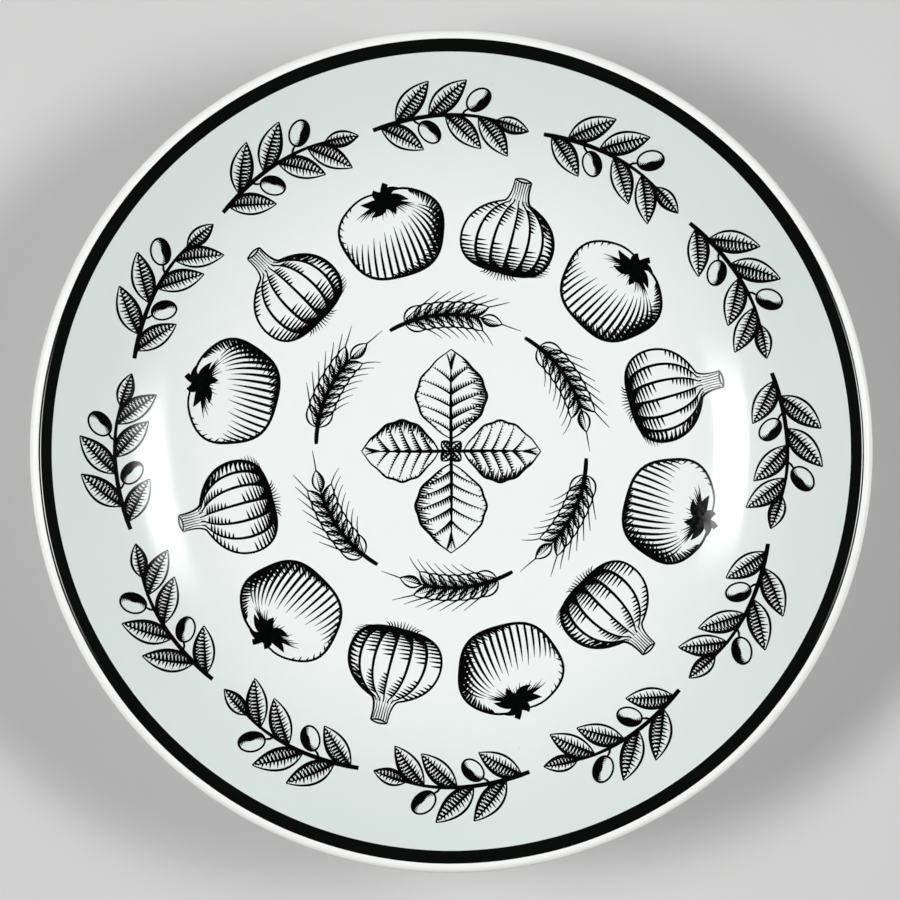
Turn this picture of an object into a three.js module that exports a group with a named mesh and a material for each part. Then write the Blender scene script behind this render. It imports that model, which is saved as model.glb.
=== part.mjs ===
// A pasta serving bowl of glazed white earthenware: a clay body on a foot ring, under coats of white glaze.
// A black enamel band follows the inner half of the lip, and black printed transfers lie on the inside.
// Millimetres, +Z up. The origin is on the bowl's axis, in the plane of the foot's bearing face.

import * as THREE from "three";
import { TessellateModifier } from "three/addons/modifiers/TessellateModifier.js";

// Bowl
const rimRadius = 165; // widest, at the outside of the lip
const wallThickness = 6.2; // through clay and glaze, and across the rolled lip
const wallSlope = 34; // of the straight upper wall, in degrees
const wallRun = 24; // plan width of the straight upper wall
const shoulderRadius = 150; // inside curve from the well to the upper wall
const wellSlope = 8.6; // at the edge of the well, in degrees
const underClearance = 7.7; // from the table to the middle of the underside
const glazeThickness = 0.4;
const coatGap = 0.05; // hairline between a coat and what it lies on

// Foot ring
const footRadius = 80; // outside, where it joins the body
const footWidth = 9; // at the join
const footTaper = 1.5; // each side leans in by this much towards the table
const footChamfer = 1;
const bareFoot = 2.6; // height of the unglazed edge above the table

// Black band
const bandWidth = 4.8; // plan width
const bandStop = 0.7; // plan width of the white lip between the band and the crest

// Printed transfers, as seen from above
const printMargin = 8.4; // bare glaze between the band and the print
const ringGap = 3; // between one ring of the print and the next
const printThickness = 0.3;
const printGap = 0.3; // under a transfer
const stemWidth = 1.4;

// Olive sprig
const sprigLength = 63;
const sprigSpacing = 5; // from one sprig to the next
const sprigBow = 3.2; // pull of the stem's curve
const nodePitch = 6.5; // along the stem, from one leaf or olive to the next
const leafLength = 19.5;
const leafWidth = 7.8;
const leafLean = 40; // from the stem, in degrees
const leafBelly = 0.42; // where a leaf is widest, as a share of its length
const tipShare = 0.7; // size of the leaf at the tip against the others
const oliveLength = 10;
const oliveWidth = 7.2;
const oliveLean = 45; // from the stem, in degrees
const stalkLength = 3.5;
const stalkOpening = 0.25; // where the stalk enters the olive, as an angle to each side
const oliveEvery = 3; // every third node bears an olive

// Tomato and garlic bulb
const fruitRadius = 21;
const fruitSpacing = 5; // from one to the next
const tomatoLobes = 5;
const tomatoLobe = 0.03; // depth of the lobes, as a share of the radius
const tomatoFlat = 0.88; // height against width
const tomatoDip = 0.16; // at the stalk, as a share of the height
const tomatoDipSpread = 0.07; // as a share of a turn

// Wheat ear
const earLength = 52;
const earReach = 12; // to each side, with the awns
const earSpacing = 4; // from one ear to the next
const earShare = 0.58; // of the length that bears grains
const grainLength = 9;
const grainPitch = 4.2;
const grainReach = 4.9; // from the middle of the straw to a grain's tip
const grainRoot = 2.4;
const awnLength = 8;

// Basil rosette
const rosetteMargin = 2; // between its leaves' tips and the ring of ears
const basilPairs = 2; // of a large and a small leaf
const basilShape = 0.78; // width of a leaf against its length
const basilBelly = 0.45;
const smallLeaf = 0.88; // size of a small leaf against a large one
const hubRadius = 5;
const basilRootWidth = 3.2; // of a leaf, where it leaves the hub

// Fineness
const turnSteps = 60;
const wellSteps = 3;
const shoulderSteps = 5;
const lipSteps = 3;
const edgeSteps = 3;
const oliveSides = 9;
const tomatoSides = 20;
const printStep = 11; // longest edge of a transfer before it is laid on the bowl

const { degToRad, lerp } = THREE.MathUtils;

// Section of the bowl. The inside line runs from the axis along the well, round the shoulder and up the
// straight wall. A depth is measured square to it, from the finished inside surface towards the outside.
const wallAngle = degToRad(wallSlope);
const wellAngle = degToRad(wellSlope);
const lipRadius = wallThickness / 2;
const crestRadius = rimRadius - lipRadius;
const wallTopRadius = crestRadius - lipRadius * Math.sin(wallAngle);
const wallFootRadius = wallTopRadius - wallRun;
const wellEdgeRadius = wallFootRadius - shoulderRadius * (Math.sin(wallAngle) - Math.sin(wellAngle));
const wellRadius = wellEdgeRadius / Math.sin(wellAngle);
const wellCentre = new THREE.Vector2(0, underClearance + wallThickness + wellRadius);
const shoulderCentre = new THREE.Vector2(
  wellEdgeRadius - shoulderRadius * Math.sin(wellAngle),
  wellCentre.y - (wellRadius - shoulderRadius) * Math.cos(wellAngle),
);

// Depths of the layers
const clayInside = glazeThickness;
const linerBack = clayInside - coatGap;
const clayOutside = wallThickness - glazeThickness;
const coatBack = clayOutside + coatGap;

function arcPoint(angle, depth) {
  const [centre, radius] = angle <= wellAngle ? [wellCentre, wellRadius] : [shoulderCentre, shoulderRadius];
  const reach = radius + depth;
  return new THREE.Vector2(centre.x + reach * Math.sin(angle), centre.y - reach * Math.cos(angle));
}

function slopeAt(radius, depth) {
  const inWell = radius / (wellRadius + depth);
  if (inWell <= Math.sin(wellAngle)) return Math.asin(inWell);
  const onShoulder = (radius - shoulderCentre.x) / (shoulderRadius + depth);
  return Math.asin(Math.min(onShoulder, Math.sin(wallAngle)));
}

// A point of the section by its plan radius. Past the shoulder the wall runs on straight.
function pointAt(radius, depth) {
  const onArc = arcPoint(slopeAt(radius, depth), depth);
  return new THREE.Vector2(radius, onArc.y + (radius - onArc.x) * Math.tan(wallAngle));
}

// A point of the finished wall at one plan radius, moved square to the wall by a depth.
function wallPoint(radius, depth) {
  const offset = new THREE.Vector2(Math.sin(wallAngle), -Math.cos(wallAngle)).multiplyScalar(depth);
  return pointAt(radius, 0).add(offset);
}

const lipCentre = wallPoint(wallTopRadius, lipRadius);

// The lip turns from the inside of the wall, at 0, over its crest, at the wall's own angle, to the outside,
// at half a turn.
function lipLine(from, to, depth) {
  return steps(lipSteps).map((share) => {
    const turn = lerp(from, to, share) - wallAngle;
    const reach = lipRadius - depth;
    return new THREE.Vector2(lipCentre.x + reach * Math.sin(turn), lipCentre.y + reach * Math.cos(turn));
  });
}

// From a turn on the inside over the crest to the outside.
function lipOver(from, depth) {
  return [...lipLine(from, wallAngle, depth), ...lipLine(wallAngle, Math.PI, depth).slice(1)];
}

function steps(count) {
  return Array.from({ length: count + 1 }, (_, i) => i / count);
}

function arcLine(from, to, count, depth) {
  return steps(count).map((share) => arcPoint(lerp(from, to, share), depth));
}

// Well and shoulder, from the axis to the foot of the straight wall.
function insideLine(depth) {
  const well = arcLine(0, wellAngle, wellSteps, depth);
  const shoulder = arcLine(wellAngle, wallAngle, shoulderSteps, depth);
  return [...well, ...shoulder.slice(1)];
}

// Outside, from the foot of the straight wall down to the foot ring.
function outsideLine(depth, footEdge) {
  const line = arcLine(wallAngle, slopeAt(footRadius, wallThickness), shoulderSteps, depth);
  return [...line.slice(0, -1), pointAt(footEdge, depth)];
}

// Underside, from within the foot ring to the axis.
function underLine(depth, footEdge) {
  const line = arcLine(slopeAt(footEdge, depth), 0, wellSteps, depth);
  return [pointAt(footEdge, depth), ...line.slice(1)];
}

// A solid of revolution, from a line that goes outwards on top and back below. A line that starts on the axis
// ends there too, and any other line closes on itself.
function turned(line) {
  const points = line[0].x === 0 ? line : [...line, line[0]];
  return new THREE.LatheGeometry(points.reverse(), turnSteps).rotateX(Math.PI / 2);
}

const bandRadius = crestRadius - bandStop - bandWidth;
const bandEnd = wallAngle - Math.asin(bandStop / lipRadius); // on the lip
const footInner = footRadius - footWidth;
const footOuterLow = new THREE.Vector2(footRadius - footTaper, footChamfer);
const footInnerLow = new THREE.Vector2(footInner + footTaper, footChamfer);

// The foot's side at the height where the glaze stops, moved outwards by an offset.
function glazeEnd(top, low, offset) {
  const share = (top.y - bareFoot) / (top.y - low.y);
  return new THREE.Vector2(lerp(top.x, low.x, share) + offset, bareFoot);
}

function bowlBody() {
  return turned([
    ...insideLine(clayInside),
    ...lipOver(0, clayInside),
    ...outsideLine(clayOutside, footRadius),
    ...underLine(clayOutside, footInner),
  ]);
}

function footRing() {
  return turned([
    pointAt(footInner, coatBack),
    pointAt(footRadius, coatBack),
    footOuterLow,
    new THREE.Vector2(footOuterLow.x - footChamfer, 0),
    new THREE.Vector2(footInnerLow.x + footChamfer, 0),
    footInnerLow,
  ]);
}

function insideGlaze() {
  const edge = bandRadius - coatGap;
  return turned([
    ...insideLine(0),
    wallPoint(edge, 0),
    wallPoint(edge, linerBack),
    ...insideLine(linerBack).reverse(),
  ]);
}

function rimBand() {
  return turned([
    wallPoint(bandRadius, 0),
    ...lipLine(0, bandEnd, 0),
    ...lipLine(0, bandEnd, linerBack).reverse(),
    wallPoint(bandRadius, linerBack),
  ]);
}

function outsideGlaze() {
  const start = bandEnd + coatGap / lipRadius;
  const top = pointAt(footRadius, coatBack);
  return turned([
    ...lipOver(start, 0),
    ...outsideLine(wallThickness, footRadius + glazeThickness),
    glazeEnd(top, footOuterLow, glazeThickness),
    glazeEnd(top, footOuterLow, coatGap),
    ...outsideLine(coatBack, footRadius + coatGap).reverse(),
    ...lipOver(start, linerBack).reverse(),
  ]);
}

function baseGlaze() {
  const top = pointAt(footInner, coatBack);
  return turned([
    ...underLine(coatBack, footInner - coatGap).reverse(),
    glazeEnd(top, footInnerLow, -coatGap),
    glazeEnd(top, footInnerLow, -glazeThickness),
    ...underLine(wallThickness, footInner - glazeThickness),
  ]);
}

// Transfers are drawn flat, each in its own plan, with +X along the motif and +Y away from the middle of the
// bowl. An outline runs clockwise: out along the left edge of each leaf, and back along its right edge.
function flat(outline) {
  return new THREE.ExtrudeGeometry(new THREE.Shape(outline), { depth: printThickness, bevelEnabled: false });
}

// Lays a flat transfer on the inside of the bowl. A garland's motif is first bent round its ring.
function laid(geometry, ring, bent) {
  const fine = new TessellateModifier(printStep).modify(geometry);
  const position = fine.attributes.position;
  for (let i = 0; i < position.count; i++) {
    const turn = bent ? position.getX(i) / ring : 0;
    const across = bent ? 0 : position.getX(i);
    const away = ring + position.getY(i);
    const x = across + away * Math.sin(turn);
    const y = away * Math.cos(turn);
    position.setXYZ(i, x, y, pointAt(Math.hypot(x, y), 0).y + printGap + position.getZ(i));
  }
  return fine;
}

function polar(length, angle) {
  return new THREE.Vector2(length * Math.cos(angle), length * Math.sin(angle));
}

// A curved edge between two points, drawn towards a third.
function edge(from, pull, to) {
  return new THREE.QuadraticBezierCurve(from, pull, to).getPoints(edgeSteps);
}

// Left edge, tip and right edge of a leaf that grows from a base between two points of its stem.
function leafOutline([left, base, right], angle, length, width, belly) {
  const tip = polar(length, angle).add(base);
  const side = new THREE.Vector2(0, width).rotateAround(new THREE.Vector2(), angle);
  const middle = polar(belly * length, angle).add(base);
  const leftEdge = edge(left, middle.clone().add(side), tip);
  const rightEdge = edge(tip, middle.clone().sub(side), right);
  return [...leftEdge, ...rightEdge.slice(1)];
}

// An olive on its stalk, between two points of the stem.
function oliveOutline([left, base, right], angle) {
  const centre = polar(stalkLength + oliveLength / 2, angle).add(base);
  const round = steps(oliveSides).map((share) => {
    const turn = lerp(Math.PI - stalkOpening, stalkOpening - Math.PI, share);
    const point = new THREE.Vector2((oliveLength / 2) * Math.cos(turn), (oliveWidth / 2) * Math.sin(turn));
    return point.rotateAround(new THREE.Vector2(), angle).add(centre);
  });
  return [left, ...round, right];
}

// A stem with leaves and olives by turns to its left and right, and a leaf at its tip.
function oliveSprig() {
  const half = sprigLength / 2;
  const tipLength = tipShare * leafLength;
  const stem = new THREE.QuadraticBezierCurve(
    new THREE.Vector2(-half, -stemWidth / 2),
    new THREE.Vector2(0, sprigBow),
    new THREE.Vector2(half - tipLength, stemWidth / 2),
  );
  const length = stem.getLength();

  // Points of the stem's side just before, at and just after a node, in the order of the outline.
  function seat(distance, side) {
    return [-side, 0, side].map((order) => {
      const share = (distance + (order * stemWidth) / 2) / length;
      const along = stem.getTangentAt(share);
      const across = new THREE.Vector2(-along.y, along.x).multiplyScalar((side * stemWidth) / 2);
      return stem.getPointAt(share).add(across);
    });
  }

  function node(i) {
    const distance = (i + 0.5) * nodePitch;
    const side = i % 2 ? 1 : -1;
    const forward = stem.getTangentAt(distance / length).angle();
    const onStem = seat(distance, side);
    return i % oliveEvery === oliveEvery - 1
      ? oliveOutline(onStem, forward + side * degToRad(oliveLean))
      : leafOutline(onStem, forward + side * degToRad(leafLean), leafLength, leafWidth, leafBelly);
  }

  const nodes = Array.from({ length: Math.floor(length / nodePitch) }, (_, i) => i);
  const end = stem.getPointAt(1);
  const forward = stem.getTangentAt(1).angle();
  const halfStem = polar(stemWidth / 2, forward + Math.PI / 2);
  const tipSeat = [end.clone().add(halfStem), end, end.clone().sub(halfStem)];
  const start = seat(stemWidth / 2, 1)[0];
  return flat([
    start,
    ...nodes.filter((i) => i % 2 === 1).flatMap(node),
    ...leafOutline(tipSeat, forward, tipLength, tipShare * leafWidth, leafBelly),
    ...nodes.filter((i) => i % 2 === 0).reverse().flatMap(node),
    new THREE.Vector2(start.x, start.y - stemWidth),
  ]);
}

// Shallow lobes, flattened, with a dip at the stalk.
function tomato() {
  return flat(
    steps(tomatoSides)
      .slice(1)
      .map((share) => {
        const angle = Math.PI / 2 - share * 2 * Math.PI;
        const reach = fruitRadius * (1 + tomatoLobe * Math.cos(tomatoLobes * (angle - Math.PI / 2)));
        const dip = 1 - tomatoDip * Math.exp(-((share - Math.round(share)) ** 2) / tomatoDipSpread ** 2);
        return new THREE.Vector2(reach * Math.cos(angle), tomatoFlat * dip * reach * Math.sin(angle));
      }),
  );
}

// A bulb with a round base, drawn in to a neck that is cut across. Its points are in shares of its radius.
function garlicBulb() {
  const at = (x, y) => new THREE.Vector2(x, y).multiplyScalar(fruitRadius);
  const neck = at(0.16, 0.98);
  const shoulder = at(0.25, 0.55);
  const belly = at(0.89, -0.2);
  const base = at(0, -0.78);
  const right = [
    ...edge(neck, at(0.14, 0.65), shoulder),
    ...edge(shoulder, at(0.87, 0.32), belly).slice(1),
    ...edge(belly, at(0.89, -0.86), base).slice(1),
  ];
  const left = right.slice(0, -1).reverse();
  return flat([...right, ...left.map((point) => new THREE.Vector2(-point.x, point.y))]);
}

// Grains in two rows along a straw, as teeth that point forwards, and one at the tip.
function wheatEar() {
  const half = earLength / 2;
  const grains = Math.floor((earShare * earLength) / grainPitch);
  const first = half - awnLength - (grains + 1) * grainPitch;
  const row = Array.from({ length: grains }, (_, i) => first + i * grainPitch).flatMap((x) => [
    new THREE.Vector2(x, grainRoot),
    new THREE.Vector2(x + grainLength / 2, grainReach),
  ]);
  const tip = new THREE.Vector2(first + (grains + 1) * grainPitch + grainLength / 2, 0);
  const neck = new THREE.Vector2(first + grains * grainPitch, grainRoot);
  const straw = [-half, first - grainPitch].map((x) => new THREE.Vector2(x, stemWidth / 2));
  const upper = [...straw, ...row, neck];
  return flat([...upper, tip, ...upper.map((point) => new THREE.Vector2(point.x, -point.y)).reverse()]);
}

// Large and small leaves by turns round a small hub.
function basilRosette(radius) {
  const leaves = 2 * basilPairs;
  return flat(
    Array.from({ length: leaves }, (_, i) => {
      const angle = Math.PI / 2 - (i * 2 * Math.PI) / leaves;
      const share = i % 2 ? smallLeaf : 1;
      const opening = basilRootWidth / 2 / hubRadius;
      const root = [opening, 0, -opening].map((offset) => polar(hubRadius, angle + offset));
      const length = share * radius - hubRadius;
      return leafOutline(root, angle, length, basilShape * length, basilBelly);
    }).flat(),
  );
}

const leafReach = leafLength * Math.sin(degToRad(leafLean)) + leafWidth / 2;
const oliveReach = (stalkLength + oliveLength) * Math.sin(degToRad(oliveLean)) + oliveWidth / 2;
const sprigReach = Math.max(leafReach, oliveReach);
const sprigRing = bandRadius - printMargin - sprigReach;
const fruitRing = sprigRing - sprigReach - ringGap - fruitRadius;
const earRing = fruitRing - fruitRadius - ringGap - earReach;
const sprigCount = Math.floor((2 * Math.PI * sprigRing) / (sprigLength + sprigSpacing));
const fruitCount = Math.floor((2 * Math.PI * fruitRing) / (2 * (2 * fruitRadius + fruitSpacing)));
const earCount = Math.floor((2 * Math.PI * earRing) / (earLength + earSpacing));

const clay = new THREE.MeshStandardMaterial({ color: 0xe4d9c6, roughness: 0.9, metalness: 0 });
const whiteGlaze = new THREE.MeshStandardMaterial({ color: 0xeef2ee, roughness: 0.12, metalness: 0 });
const blackEnamel = new THREE.MeshStandardMaterial({ color: 0x0b0c0e, roughness: 0.15, metalness: 0 });

const bowl = new THREE.Group();

function add(name, geometry, material, turn = 0) {
  const mesh = new THREE.Mesh(geometry, material);
  mesh.name = name;
  mesh.rotation.z = turn;
  bowl.add(mesh);
}

// Equal copies of a transfer round the bowl, from a first angle.
function addRing(name, geometry, count, first) {
  for (let i = 0; i < count; i++) {
    const number = String(i + 1).padStart(2, "0");
    add(`${name}_${number}`, geometry, blackEnamel, first + (i * 2 * Math.PI) / count);
  }
}

add("bowl_body", bowlBody(), clay);
add("foot_ring", footRing(), clay);
add("inside_glaze", insideGlaze(), whiteGlaze);
add("rim_band", rimBand(), blackEnamel);
add("outside_glaze", outsideGlaze(), whiteGlaze);
add("base_glaze", baseGlaze(), whiteGlaze);
addRing("olive_print", laid(oliveSprig(), sprigRing, true), sprigCount, 0);
addRing("tomato_print", laid(tomato(), fruitRing, false), fruitCount, Math.PI / (2 * fruitCount));
addRing("garlic_print", laid(garlicBulb(), fruitRing, false), fruitCount, -Math.PI / (2 * fruitCount));
addRing("wheat_print", laid(wheatEar(), earRing, true), earCount, 0);
add("basil_print", laid(basilRosette(earRing - earReach - rosetteMargin), 0, false), blackEnamel);

export default bowl;
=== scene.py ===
"""A pasta serving bowl of glazed white earthenware, with a black band at its lip and a black print inside.

The clay body, its foot and its coats of glaze are turned from one section. The print is drawn with a pen, as
strokes that swell and thin, and each transfer's strokes are then laid on the inside of the bowl.
"""

import cmath
import math

import bmesh
import bpy
from mathutils import Matrix, Vector


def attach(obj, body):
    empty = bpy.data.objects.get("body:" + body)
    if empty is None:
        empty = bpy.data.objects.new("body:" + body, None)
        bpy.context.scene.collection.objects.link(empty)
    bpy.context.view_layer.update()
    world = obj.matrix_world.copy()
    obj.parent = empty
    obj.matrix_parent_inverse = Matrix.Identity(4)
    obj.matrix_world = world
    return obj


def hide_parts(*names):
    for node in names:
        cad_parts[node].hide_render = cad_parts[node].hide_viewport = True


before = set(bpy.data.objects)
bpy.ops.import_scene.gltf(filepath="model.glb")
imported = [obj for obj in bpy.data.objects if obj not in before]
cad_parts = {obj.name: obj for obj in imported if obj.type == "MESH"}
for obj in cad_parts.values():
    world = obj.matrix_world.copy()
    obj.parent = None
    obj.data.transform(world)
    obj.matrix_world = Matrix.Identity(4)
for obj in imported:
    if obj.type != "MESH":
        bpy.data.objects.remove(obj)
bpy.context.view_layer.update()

MM = 0.001

# Bowl
RIM_RADIUS = 165 * MM
WALL_THICKNESS = 6.2 * MM
WALL_SLOPE = math.radians(34)
WALL_RUN = 24 * MM
SHOULDER_RADIUS = 150 * MM
WELL_SLOPE = math.radians(8.6)
UNDER_CLEARANCE = 7.7 * MM
GLAZE = 0.4 * MM
COAT_GAP = 0.05 * MM

# Foot ring
FOOT_RADIUS = 80 * MM
FOOT_WIDTH = 9 * MM
FOOT_TAPER = 1.5 * MM
FOOT_ROUND = 1.0 * MM
FOOT_FILLET = 2.2 * MM  # of the glaze, between the foot and the body
BARE_FOOT = 2.6 * MM
GLAZE_EDGE_SWING = 0.35 * MM  # of the wiped edge of the glaze, up and down
GLAZE_EDGE_REACH = 1.5 * MM

# Black band
BAND_WIDTH = 4.8 * MM  # in plan
BAND_STOP = 0.7 * MM  # white lip in plan, between the band and the crest
BAND_FILM = 0.03 * MM
BAND_SEAT = 0.004 * MM  # under the film
BAND_TAPER = 0.35 * MM  # over which the film thins out at its edges
BAND_SWING = 0.11 * MM  # of its edges, as a hand draws them

# Printed film
PRINT_TOP = 0.035 * MM  # above the glaze
PRINT_FILM = 0.022 * MM
PRINT_LEVELS = 8  # strokes that cross lie at different levels
LEVEL_STEP = 0.0004 * MM

# Print layout in millimetres, in plan
PEN = 1.25  # weight of every stroke
PRINT_MARGIN = 8.4
RING_GAP = 3.0
STEM = 1.4
SPRIG_LENGTH = 63.0
SPRIG_BOW = 3.2
NODE_PITCH = 6.5
OLIVE_EVERY = 3
LEAF_LENGTH = 19.5
LEAF_WIDTH = 7.8
LEAF_LEAN = math.radians(40)
LEAF_BELLY = 0.42
LEAF_HATCHES = 14
TIP_SHARE = 0.7
TIP_HATCHES = 10
OLIVE_LENGTH = 10.0
OLIVE_WIDTH = 7.2
OLIVE_LEAN = math.radians(45)
STALK = 3.5
FRUIT_RADIUS = 21.0
TOMATO_LOBES = 5
TOMATO_LOBE = 0.03
TOMATO_FLAT = 0.88
TOMATO_DIP = 0.16
TOMATO_DIP_SPREAD = 0.07
SEPALS = 6
SEPAL_TURN = 48  # degrees
SEPAL_REACH = 9.8  # across
SEPAL_RISE = 5.9  # outwards
SEPAL_DROP = 0.6
SEPAL_BEND = 0.5  # radians
SEPAL_PULL = (4.6, 4.3)  # across and outwards
TOMATO_STALK = complex(2.2, 6.4)
TOMATO_STALK_PULL = 3.5j
BULB_NECK_CUT = 1.3
EAR_LENGTH = 52.0
EAR_REACH = 12.0
EAR_SHARE = 0.58
GRAIN_LENGTH = 9.0
GRAIN_WIDTH = 4.3
GRAIN_PITCH = 4.2
GRAIN_REACH = 4.9
GRAIN_HATCH = 1.3
AWN_LENGTH = 8.0
AWN_PULL = 4
AWN_BEND = 0.9
STRAW_PULL = 12
STRAW_BEND = 0.6
ROSETTE_MARGIN = 2.0
BASIL_PAIRS = 2
BASIL_SHAPE = 0.78
BASIL_BELLY = 0.45
BASIL_WAVE = 0.3  # of the leaf's edge
BASIL_WAVES = 4.75
SMALL_LEAF = 0.88
VEIN_HATCH = 1.1
HUB = 5.0

# Fineness of the turned pieces
TURN_STEPS = 288
WELL_STEPS = 30
SHOULDER_STEPS = 36
WALL_STEPS = 8
LIP_STEPS = 14
CORNER_STEPS = 6
SHARP = math.radians(40)
MERGE = 0.0005 * MM  # between points that count as one

# Camera and light
LENS = 135  # millimetres
SENSOR = 36
PHOTO_WIDTH = 900  # pixels
RIM_PIXELS = 843  # across the rim
CENTRE_PIXELS = (1.2, -1.2)  # of the bowl, right of and above the middle of the picture
LIGHT_DISTANCE = 4.0
LIGHT_SPREAD = math.radians(160)
FLOOR_REACH = 12  # from the middle to each side

# Surround, by height: the sine of the angle above the horizon
WALL_HEIGHT = 0.12
CEILING_HEIGHT = 0.4
HORIZON_SHARE = 0.3  # of the walls' glow
WALL_GLOW = 0.35
OVERHEAD_GLOW = 0.09
STUDIO_TONE = (0.95, 1, 1, 1)

# Section of the bowl, as complex numbers: radius and height
LIP_RADIUS = WALL_THICKNESS / 2
CREST = RIM_RADIUS - LIP_RADIUS
WALL_TOP = CREST - LIP_RADIUS * math.sin(WALL_SLOPE)
WALL_FOOT = WALL_TOP - WALL_RUN
WELL_EDGE = WALL_FOOT - SHOULDER_RADIUS * (math.sin(WALL_SLOPE) - math.sin(WELL_SLOPE))
WELL_RADIUS = WELL_EDGE / math.sin(WELL_SLOPE)
WELL_CENTRE = complex(0, UNDER_CLEARANCE + WALL_THICKNESS + WELL_RADIUS)
SHOULDER_CENTRE = WELL_CENTRE - 1j * cmath.rect(WELL_RADIUS - SHOULDER_RADIUS, WELL_SLOPE)
BAND_RADIUS = CREST - BAND_STOP - BAND_WIDTH
FOOT_INNER = FOOT_RADIUS - FOOT_WIDTH

# Depths of the layers under the finished inside surface
LINER_BACK = GLAZE - COAT_GAP
CLAY_OUTSIDE = WALL_THICKNESS - GLAZE
COAT_BACK = CLAY_OUTSIDE + COAT_GAP


def shares(steps):
    return [i / steps for i in range(steps + 1)]


def lerp(start, end, share):
    return start + (end - start) * share


def arc_point(slope, depth):
    if slope <= WELL_SLOPE:
        return WELL_CENTRE - 1j * cmath.rect(WELL_RADIUS + depth, slope)
    return SHOULDER_CENTRE - 1j * cmath.rect(SHOULDER_RADIUS + depth, slope)


def slope_at(radius, depth=0.0):
    in_well = radius / (WELL_RADIUS + depth)
    if in_well <= math.sin(WELL_SLOPE):
        return math.asin(in_well)
    on_shoulder = (radius - SHOULDER_CENTRE.real) / (SHOULDER_RADIUS + depth)
    return math.asin(min(on_shoulder, math.sin(WALL_SLOPE)))


def point_at(radius, depth=0.0):
    """A point of the section by its radius. Past the shoulder the wall runs on straight."""
    on_arc = arc_point(slope_at(radius, depth), depth)
    return complex(radius, on_arc.imag + (radius - on_arc.real) * math.tan(WALL_SLOPE))


def wall_point(radius, depth):
    """The finished wall at a radius, moved square to it by a depth."""
    return point_at(radius) - 1j * cmath.rect(depth, WALL_SLOPE)


LIP_CENTRE = wall_point(WALL_TOP, LIP_RADIUS)


def lip_point(turn, depth):
    """The lip, from the inside of the wall at 0 over its crest to the outside at half a turn."""
    return LIP_CENTRE + 1j * cmath.rect(LIP_RADIUS - depth, WALL_SLOPE - turn)


def arc_line(first, last, steps, depth):
    return [arc_point(lerp(first, last, share), depth) for share in shares(steps)]


def wall_line(last, depth):
    """The straight wall, from the shoulder to a radius, without its first point."""
    return [wall_point(lerp(WALL_FOOT, last, share), depth) for share in shares(WALL_STEPS)[1:]]


def lip_line(first, last, depth):
    return [lip_point(lerp(first, last, share), depth) for share in shares(LIP_STEPS)]


def inside_line(depth):
    well = arc_line(0, WELL_SLOPE, WELL_STEPS, depth)
    return well + arc_line(WELL_SLOPE, WALL_SLOPE, SHOULDER_STEPS, depth)[1:]


def outside_line(depth, edge):
    """Outside of the shoulder, from the wall down to a radius at the foot."""
    line = arc_line(WALL_SLOPE, slope_at(FOOT_RADIUS, depth), SHOULDER_STEPS, depth)
    return line[:-1] + [point_at(edge, depth)]


def under_line(depth, edge):
    """Underside, from a radius within the foot to the axis."""
    line = arc_line(slope_at(edge, depth), 0, WELL_STEPS, depth)
    return [point_at(edge, depth)] + line[1:]


def rounded(before, corner, after, radius):
    """An arc in place of a corner."""
    into, out = before - corner, after - corner
    into, out = into / abs(into), out / abs(out)
    half = abs(cmath.phase(out / into)) / 2
    start = corner + into * radius / math.tan(half)
    end = corner + out * radius / math.tan(half)
    centre = corner + (into + out) / abs(into + out) * radius / math.sin(half)
    sweep = cmath.phase((end - centre) / (start - centre))
    return [centre + (start - centre) * cmath.rect(1, sweep * share) for share in shares(CORNER_STEPS)]


def wave(angle, phase):
    """An uneven line once round the bowl, between about -1 and 1."""
    parts = ((3, 0.45, 0.4), (7, 0.3, 1.9), (16, 0.25, 0.7), (37, 0.12, 2.6))
    return sum(size * math.sin(count * angle + shift + phase) for count, size, shift in parts)


def sealed(bm):
    """Joins the points that meet and turns the faces outwards."""
    bmesh.ops.remove_doubles(bm, verts=bm.verts, dist=MERGE)
    bmesh.ops.recalc_face_normals(bm, faces=bm.faces)
    return bm


def turned(line, closed):
    """A solid of revolution. An open line starts and ends on the axis."""
    bm = bmesh.new()
    verts = [bm.verts.new((point.real, 0, point.imag)) for point in line]
    edges = [bm.edges.new(pair) for pair in zip(verts, verts[1:])]
    if closed:
        edges.append(bm.edges.new((verts[-1], verts[0])))
    around = {"axis": (0, 0, 1), "angle": 2 * math.pi, "steps": TURN_STEPS, "use_merge": True}
    bmesh.ops.spin(bm, geom=verts + edges, **around)
    return sealed(bm)


def piece(mesh, finish, node):
    """A finished piece, named after its mesh, that stands for a node of the frame."""
    mesh.shade_smooth()
    mesh.set_sharp_from_angle(angle=SHARP)
    mesh.materials.append(finish)
    made = bpy.data.objects.new(mesh.name, mesh)
    bpy.context.collection.objects.link(made)
    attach(made, "root")
    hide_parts(node)


def mesh_of(name, bm):
    mesh = bpy.data.meshes.new(name)
    bm.to_mesh(mesh)
    bm.free()
    return mesh


# Clay
def clay_body():
    line = inside_line(GLAZE) + wall_line(WALL_TOP, GLAZE) + lip_line(0, math.pi, GLAZE)[1:]
    line += outside_line(CLAY_OUTSIDE, FOOT_RADIUS) + under_line(CLAY_OUTSIDE, FOOT_INNER)
    return turned(line, closed=False)


def foot_ring():
    seat = [point_at(FOOT_INNER, COAT_BACK), point_at(FOOT_RADIUS, COAT_BACK)]
    outer, inner = complex(FOOT_RADIUS - FOOT_TAPER, 0), complex(FOOT_INNER + FOOT_TAPER, 0)
    line = seat + rounded(seat[1], outer, inner, FOOT_ROUND) + rounded(outer, inner, seat[0], FOOT_ROUND)
    return turned(line, closed=True)


# Coats of glaze
SEAM_RADIUS = (BAND_RADIUS + WALL_TOP) / 2  # where the coats meet, under the black band


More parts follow.
